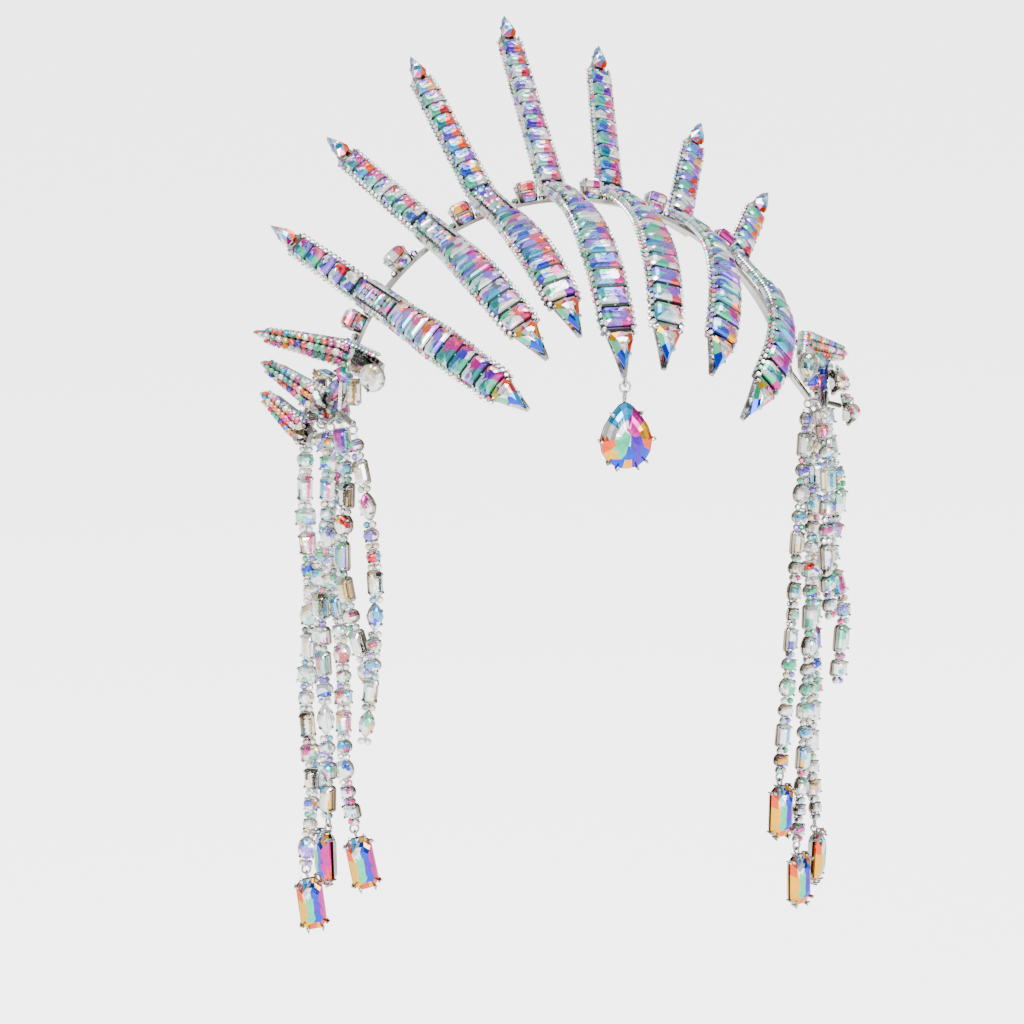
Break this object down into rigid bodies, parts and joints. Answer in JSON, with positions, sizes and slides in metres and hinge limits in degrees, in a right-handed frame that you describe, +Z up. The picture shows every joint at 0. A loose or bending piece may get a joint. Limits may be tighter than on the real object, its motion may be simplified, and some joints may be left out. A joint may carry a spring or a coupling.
{
  "type": "fringe tiara",
  "caption": "Silver headband crossed by curved pointed blades set with iridescent crystals, with a pear pendant on the forehead and hanging crystal fringe at both ears.",
  "frame": {"origin": "under the band at the crown of the head, in the middle of the strip", "axes": "+Z up, -Y to the wearer's front, +X to the wearer's left"},
  "size_m": [0.2143, 0.1963, 0.3196],
  "materials": {
    "silver": "polished rhodium plate",
    "crystal": "foil-backed cut crystal with an iridescent coat",
    "side_crystal": "foil-backed cut crystal with an iridescent coat",
    "strand": "foil-backed cut crystals in linked settings"
  },
  "bodies": {
    "tiara": {"band_stones": "crystal", "blade_centre": "silver", "blade_centre_stones": "crystal", "blade_left_1": "silver", "blade_left_1_stones": "crystal", "blade_left_2": "silver", "blade_left_2_stones": "crystal", "blade_left_3": "silver", "blade_left_3_stones": "crystal", "blade_left_side_1": "silver", "blade_left_side_2": "silver", "blade_left_side_3": "silver", "blade_right_1": "silver", "blade_right_1_stones": "crystal", "blade_right_2": "silver", "blade_right_2_stones": "crystal", "blade_right_3": "silver", "blade_right_3_stones": "crystal", "blade_right_side_1": "silver", "blade_right_side_2": "silver", "blade_right_side_3": "silver", "drop_left_a_setting": "silver", "drop_left_a_stone": "crystal", "drop_left_b_setting": "silver", "drop_left_b_stone": "crystal", "drop_left_d_setting": "silver", "drop_left_d_stone": "crystal", "drop_right_a_setting": "silver", "drop_right_a_stone": "crystal", "drop_right_b_setting": "silver", "drop_right_b_stone": "crystal", "drop_right_d_setting": "silver", "drop_right_d_stone": "crystal", "headband": "silver", "left_side_stones": "side_crystal", "right_side_stones": "side_crystal", "strand_left_a": "strand", "strand_left_b": "strand", "strand_left_c": "strand", "strand_left_d": "strand", "strand_left_e": "strand", "strand_right_a": "strand", "strand_right_b": "strand", "strand_right_c": "strand", "strand_right_d": "strand", "strand_right_e": "strand"},
    "pendant": {"pendant_setting": "silver", "pendant_stone": "crystal"}
  },
  "joints": [
    {"name": "pendant_swing", "type": "hinge", "parent": "tiara", "child": "pendant", "pos_m": [0, -0.0946, -0.04719], "axis": [1, 0, 0], "range_deg": [-75, 12]}
  ]
}
